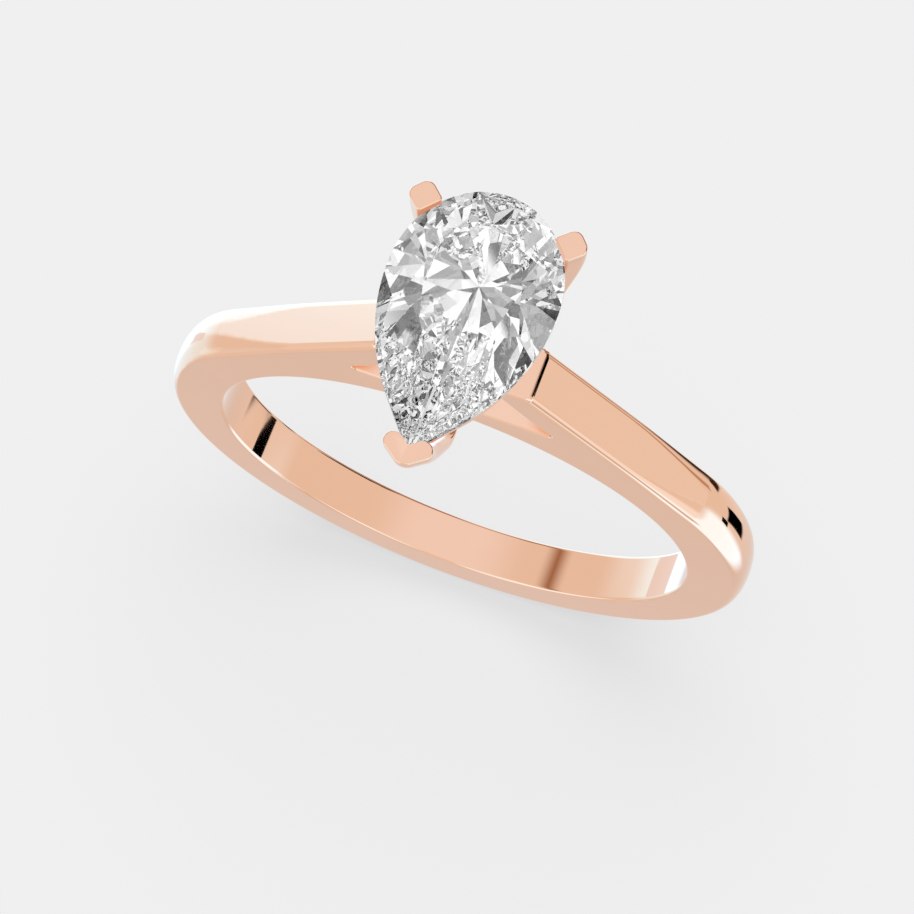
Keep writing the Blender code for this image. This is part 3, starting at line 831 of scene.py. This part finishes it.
def facet_directions():
    """Main facets, and the pairs of neighbouring mains, all round the stone."""
    mains = MAIN_DIRECTIONS + [-a for a in reversed(MAIN_DIRECTIONS[1:-1])]
    pairs = []
    for first, second in zip(MAIN_DIRECTIONS, MAIN_DIRECTIONS[1:]):
        pairs.append((first, second))
        pairs.append((-first, -second))
    return mains, pairs


def culet_reach(direction):
    """How far the stone's lowest point lies out in a direction."""
    return CULET_X * math.sin(direction) + CULET_Y * math.cos(direction)


def cut_stone(grow=0.0):
    """A pear brilliant, ground out of a pear-shaped blank plane by plane."""
    outline = pear_outline(1.0, grow)
    true_outline = pear_outline()
    girdle_low = GIRDLE_TOP_Z - GIRDLE_THICKNESS
    table_z = GIRDLE_TOP_Z + CROWN_HEIGHT
    culet_z = girdle_low - PAVILION_DEPTH
    bm = solid_plate(outline, culet_z - PAVILION_DEPTH, table_z + CROWN_HEIGHT)
    bmesh.ops.recalc_face_normals(bm, faces=bm.faces)
    slice_off(bm, (0, 0, table_z + grow), (0, 0, 1))
    mains, pairs = facet_directions()
    for direction in mains:
        reach = support(true_outline, direction)
        grind(bm, direction, girdle_low, reach, culet_z, culet_reach(direction), grow)
        grind(bm, direction, GIRDLE_TOP_Z, reach, table_z, reach * TABLE_SHARE, grow)
    for first, second in pairs:
        middle = (first + second) / 2
        star_reach = support(true_outline, middle)
        star_low = star_reach * STAR_GIRDLE_SHARE
        grind(bm, middle, GIRDLE_TOP_Z, star_low, table_z, star_reach * STAR_TABLE_SHARE, grow)
        for share in HALF_FACET_SHARES:
            direction = first + (second - first) * share
            reach = support(true_outline, direction)
            half_z = girdle_low - PAVILION_DEPTH * LOWER_HALF_REACH
            grind(bm, direction, girdle_low, reach, half_z, culet_reach(direction), grow)
            upper = reach * UPPER_HALF_TABLE_SHARE
            grind(bm, direction, GIRDLE_TOP_Z, reach, table_z, upper, grow)
    return bm


def build_stone(material):
    piece = new_piece("faceted_stone", cut_stone(), material)
    piece.data.shade_flat()
    stand_for(piece, "diamond", STONE_SLOT)


# ---------------------------------------------------------------- shader nodes


def calculate(tree, operation, first, second=0.0):
    """One math node; each input is a number or the output of another node."""
    node = tree.nodes.new("ShaderNodeMath")
    node.operation = operation
    for field, value in zip(node.inputs, (first, second)):
        feed(tree, field, value)
    return node.outputs[0]


def feed(tree, field, value):
    """Give a node's input a number, a colour or the output of another node."""
    if isinstance(value, bpy.types.NodeSocket):
        tree.links.new(value, field)
    else:
        field.default_value = value


def spread(tree, value, low, high, to_low=0.0, to_high=1.0):
    """Map a value from one range to another, eased at both ends and kept inside."""
    node = tree.nodes.new("ShaderNodeMapRange")
    node.interpolation_type = "SMOOTHSTEP"
    for name, number in (("Value", value), ("From Min", low), ("From Max", high)):
        feed(tree, node.inputs[name], number)
    feed(tree, node.inputs["To Min"], to_low)
    feed(tree, node.inputs["To Max"], to_high)
    return node.outputs["Result"]


def blend_colours(tree, share, first, second):
    """The first colour at a share of 0 and the second at 1."""
    node = tree.nodes.new("ShaderNodeMix")
    node.data_type = "RGBA"
    feed(tree, node.inputs["Factor"], share)
    for name, colour in (("A", first), ("B", second)):
        fields = [f for f in node.inputs if f.name == name and f.type == "RGBA"]
        feed(tree, fields[0], colour)
    return [o for o in node.outputs if o.type == "RGBA"][0]


def noise_at(tree, place, scale, detail):
    """Noise over a place or a direction, with about this many features per unit of length."""
    noise = tree.nodes.new("ShaderNodeTexNoise")
    tree.links.new(place, noise.inputs["Vector"])
    noise.inputs["Scale"].default_value = scale
    noise.inputs["Detail"].default_value = detail
    return noise.outputs["Fac"]


def bump_from(tree, height, strength, distance):
    bump = tree.nodes.new("ShaderNodeBump")
    bump.inputs["Strength"].default_value = strength
    bump.inputs["Distance"].default_value = distance
    tree.links.new(height, bump.inputs["Height"])
    return bump.outputs["Normal"]


# ---------------------------------------------------------------- materials


def rose_gold():
    """Polished rose gold: faint cloudiness, hairline marks, edges rubbed brighter, and painted
    reflection and shade: a deeper orange painted where pieces lie close together, in place of the
    mirroring between them."""
    material = bpy.data.materials.new("polished_rose_gold")
    material.use_nodes = True
    tree = material.node_tree
    shader = tree.nodes["Principled BSDF"]
    shader.inputs["Metallic"].default_value = 1.0
    place = tree.nodes.new("ShaderNodeTexCoord").outputs["Object"]
    clouds = noise_at(tree, place, CLOUD_SCALE, CLOUD_DETAIL)
    grain = noise_at(tree, place, GRAIN_SCALE, GRAIN_DETAIL)
    pointed = tree.nodes.new("ShaderNodeNewGeometry").outputs["Pointiness"]
    worn = spread(tree, pointed, *EDGE_WEAR_RANGE)
    cloudy = spread(tree, clouds, *CLOUD_RANGE)
    body = blend_colours(tree, cloudy, (*GOLD_DEEP, 1), (*GOLD, 1))
    colour = blend_colours(tree, worn, body, (*GOLD_WORN, 1))
    # Painted reflection and shade: the gold turns deep orange where other gold lies near, in place
    # of the pieces mirroring each other.
    nearby_gold = tree.nodes.new("ShaderNodeAmbientOcclusion")
    nearby_gold.inputs["Distance"].default_value = PAINTED_BOUNCE_REACH
    painted_bounce = spread(tree, nearby_gold.outputs["AO"], *PAINTED_BOUNCE_RANGE)
    colour = blend_colours(tree, painted_bounce, colour, (*GOLD_PAINTED_BOUNCE, 1))
    feed(tree, shader.inputs["Base Color"], colour)
    polish = spread(tree, clouds, *CLOUD_RANGE, *GOLD_ROUGHNESS)
    polish = calculate(tree, "ADD", polish, calculate(tree, "MULTIPLY", worn, WORN_ROUGHNESS))
    feed(tree, shader.inputs["Roughness"], polish)
    feed(tree, shader.inputs["Normal"], bump_from(tree, grain, GRAIN_STRENGTH, GRAIN_DEPTH))
    return material


def clear_stone():
    """The clear stone. Rays that the metal sends towards it pass it by, so that the polished metal
    beside it stays plain."""
    material = bpy.data.materials.new("brilliant_stone")
    material.use_nodes = True
    tree = material.node_tree
    shader = tree.nodes["Principled BSDF"]
    place = tree.nodes.new("ShaderNodeTexCoord").outputs["Object"]
    clouds = noise_at(tree, place, CLOUD_SCALE, STONE_CLOUD_DETAIL)
    body = blend_colours(tree, clouds, (*STONE_CLEAR, 1), (*STONE_TINT, 1))
    feed(tree, shader.inputs["Base Color"], body)
    polish = spread(tree, clouds, *CLOUD_RANGE, *STONE_ROUGHNESS)
    feed(tree, shader.inputs["Roughness"], polish)
    grain = noise_at(tree, place, GRAIN_SCALE, STONE_GRAIN_DETAIL)
    feed(tree, shader.inputs["Normal"], bump_from(tree, grain, STONE_GRAIN_STRENGTH, GRAIN_DEPTH))
    shader.inputs["IOR"].default_value = STONE_IOR
    shader.inputs["Transmission Weight"].default_value = 1.0
    ray = tree.nodes.new("ShaderNodeLightPath").outputs
    side = tree.nodes.new("ShaderNodeNewGeometry").outputs
    # A mirrored ray passes if it meets the stone from outside or has already passed into it.
    outside = calculate(tree, "SUBTRACT", 1.0, side["Backfacing"])
    passing = calculate(tree, "MAXIMUM", outside, ray["Transparent Depth"])
    passing = calculate(tree, "MULTIPLY", passing, ray["Is Glossy Ray"])
    passing = calculate(tree, "MINIMUM", passing, 1.0)
    clear = tree.nodes.new("ShaderNodeBsdfTransparent")
    mix = tree.nodes.new("ShaderNodeMixShader")
    tree.links.new(passing, mix.inputs[0])
    tree.links.new(shader.outputs[0], mix.inputs[1])
    tree.links.new(clear.outputs[0], mix.inputs[2])
    tree.links.new(mix.outputs[0], tree.nodes["Material Output"].inputs["Surface"])
    return material


# ---------------------------------------------------------------- stage


def build_floor():
    """A plain pale floor. Part of its light is its own, which keeps the shadows faint."""
    bm = bmesh.new()
    bmesh.ops.create_circle(bm, cap_ends=True, segments=FLOOR_SIDES, radius=FLOOR_RADIUS)
    mesh = bpy.data.meshes.new("floor")
    bm.to_mesh(mesh)
    bm.free()
    floor = bpy.data.objects.new("floor", mesh)
    material = bpy.data.materials.new("pale_floor")
    material.use_nodes = True
    shader = material.node_tree.nodes["Principled BSDF"]
    shader.inputs["Base Color"].default_value = (FLOOR_WHITE, FLOOR_WHITE, FLOOR_WHITE, 1)
    shader.inputs["Roughness"].default_value = 1.0
    shader.inputs["Specular IOR Level"].default_value = 0.0
    shader.inputs["Emission Color"].default_value = (*BACKDROP, 1)
    shader.inputs["Emission Strength"].default_value = 1.0 - LAMP_SHARE - ROOM_SHARE
    mesh.materials.append(material)
    floor.visible_glossy = False
    floor.visible_transmission = False
    bpy.context.scene.collection.objects.link(floor)


def build_lamp():
    """One wide soft lamp, high behind the ring. The metal and the stone mirror the studio only."""
    data = bpy.data.lights.new("soft_lamp", "SUN")
    data.angle = LAMP_SIZE
    data.energy = LAMP_SHARE * BACKDROP[0] * math.pi / FLOOR_WHITE / math.sin(LAMP_ELEVATION)
    lamp = bpy.data.objects.new("soft_lamp", data)
    lamp.rotation_euler = (0.0, math.pi / 2 - LAMP_ELEVATION, math.pi / 2 - LAMP_AZIMUTH)
    lamp.visible_glossy = False
    lamp.visible_transmission = False
    bpy.context.scene.collection.objects.link(lamp)


def compass(tree):
    """Azimuth from +Y towards +X and elevation of the viewed direction, in degrees."""
    direction = tree.nodes.new("ShaderNodeTexCoord").outputs["Generated"]
    parts = tree.nodes.new("ShaderNodeSeparateXYZ")
    tree.links.new(direction, parts.inputs[0])
    x, y, z = parts.outputs
    azimuth = calculate(tree, "DEGREES", calculate(tree, "ARCTAN2", x, y))
    elevation = calculate(tree, "DEGREES", calculate(tree, "ARCSINE", z))
    return direction, azimuth, elevation


def lay_card(tree, below, azimuth, elevation, card):
    """Lay one softly edged card over what is already in the studio."""
    middle, half, soft, height, half_height, soft_height, lean, colour = card
    from_height = calculate(tree, "SUBTRACT", elevation, height)
    from_middle = calculate(tree, "SUBTRACT", azimuth, middle)
    if lean:
        leaning = calculate(tree, "MULTIPLY", from_height, lean)
        from_middle = calculate(tree, "SUBTRACT", from_middle, leaning)
    mask = 1.0
    for value, reach, edge in ((from_middle, half, soft), (from_height, half_height, soft_height)):
        away = calculate(tree, "ABSOLUTE", value)
        mask = calculate(tree, "MULTIPLY", mask, spread(tree, away, reach + edge, reach - edge))
    return blend_colours(tree, mask, below, (*colour, 1))


def metal_studio(tree, azimuth, elevation):
    """What the polished metal reflects."""
    overhead = spread(tree, elevation, *STUDIO_CEILING_RANGE)
    colour = blend_colours(tree, overhead, (*STUDIO_WALL, 1), (*STUDIO_CEILING, 1))
    beneath = spread(tree, elevation, *STUDIO_GROUND_RANGE)
    colour = blend_colours(tree, beneath, colour, (*STUDIO_GROUND, 1))
    for card in STUDIO_CARDS:
        colour = lay_card(tree, colour, azimuth, elevation, card)
    return colour


def stone_studio(tree, direction):
    """What the stone gathers: a room of soft greys with a few black gaps."""
    patches = noise_at(tree, direction, STONE_ROOM_SCALE, STONE_ROOM_DETAIL)
    shade = spread(tree, patches, *STONE_ROOM_SHADES)
    room = blend_colours(tree, shade, (*STONE_ROOM_GREY, 1), (*STONE_ROOM_LIGHT, 1))
    gaps = noise_at(tree, direction, STONE_GAP_SCALE, STONE_GAP_DETAIL)
    gap = spread(tree, gaps, *STONE_GAP_RANGE)
    return blend_colours(tree, gap, room, (0, 0, 0, 1))


def build_world():
    """The studio: one plain backdrop to look at, softboxes and dark cards for the gold to mirror,
    and the stone's own room. The stone's mirrored rays are told from the gold's by being singular:
    the stone is smooth enough for that, and the gold isn't, so their roughness has to stay so."""
    world = bpy.data.worlds.new("studio")
    bpy.context.scene.world = world
    world.use_nodes = True
    tree = world.node_tree
    direction, azimuth, elevation = compass(tree)
    ray = tree.nodes.new("ShaderNodeLightPath").outputs
    room_light = (*[ROOM_SHARE * level / FLOOR_WHITE for level in BACKDROP], 1)
    colour = blend_colours(
        tree, ray["Is Glossy Ray"], room_light, metal_studio(tree, azimuth, elevation)
    )
    from_stone = calculate(tree, "MAXIMUM", ray["Is Transmission Ray"], ray["Is Singular Ray"])
    colour = blend_colours(tree, from_stone, colour, stone_studio(tree, direction))
    colour = blend_colours(tree, ray["Is Camera Ray"], colour, (*BACKDROP, 1))
    tree.links.new(colour, tree.nodes["Background"].inputs["Color"])


def build_camera():
    """The camera at the photo's viewing angle."""
    azimuth = CAMERA_AZIMUTH
    elevation = CAMERA_ELEVATION
    back = Vector(
        (
            math.sin(azimuth) * math.cos(elevation),
            -math.cos(azimuth) * math.cos(elevation),
            math.sin(elevation),
        )
    )
    right = Vector((math.cos(azimuth), math.sin(azimuth), 0.0))
    up = back.cross(right)
    data = bpy.data.cameras.new("camera")
    data.sensor_width = CAMERA_SENSOR
    data.lens = CAMERA_LENS
    data.clip_start = CAMERA_DISTANCE / CAMERA_CLIP_FACTOR
    data.clip_end = CAMERA_DISTANCE * CAMERA_CLIP_FACTOR
    camera = bpy.data.objects.new("camera", data)
    turn = Matrix((right, up, back)).transposed().to_4x4()
    eye = finger_centre() + back * CAMERA_DISTANCE + right * CAMERA_RIGHT + up * CAMERA_UP
    camera.matrix_world = Matrix.Translation(eye) @ turn
    bpy.context.scene.collection.objects.link(camera)
    bpy.context.scene.camera = camera


# ---------------------------------------------------------------- the ring


def main():
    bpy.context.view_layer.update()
    gold = rose_gold()
    seat = new_piece("stone_seat", cut_stone(SEAT_GAP), None)
    lower = rail_cutter("lower_rail_place", LOWER_RAIL_SCALE, LOWER_RAIL_Z)
    upper = rail_cutter("upper_rail_place", UPPER_RAIL_SCALE, UPPER_RAIL_Z)
    build_band(gold, lower)
    build_peg(gold)
    build_rail("polished_lower_rail", "lower_gallery_rail", LOWER_RAIL_SCALE, LOWER_RAIL_Z, gold)
    build_rail("polished_upper_rail", "upper_gallery_rail", UPPER_RAIL_SCALE, UPPER_RAIL_Z, gold)
    build_claws((seat, upper, lower), gold)
    for cutter in (seat, lower, upper):
        bpy.data.objects.remove(cutter)
    build_stone(clear_stone())
    build_floor()
    build_lamp()
    build_world()
    build_camera()
    scene = bpy.context.scene
    scene.view_settings.view_transform = "Standard"
    scene.cycles.max_bounces = LIGHT_BOUNCES
    scene.cycles.glossy_bounces = LIGHT_BOUNCES
    scene.cycles.transmission_bounces = LIGHT_BOUNCES
    scene.cycles.caustics_reflective = False
    scene.cycles.caustics_refractive = False


main()
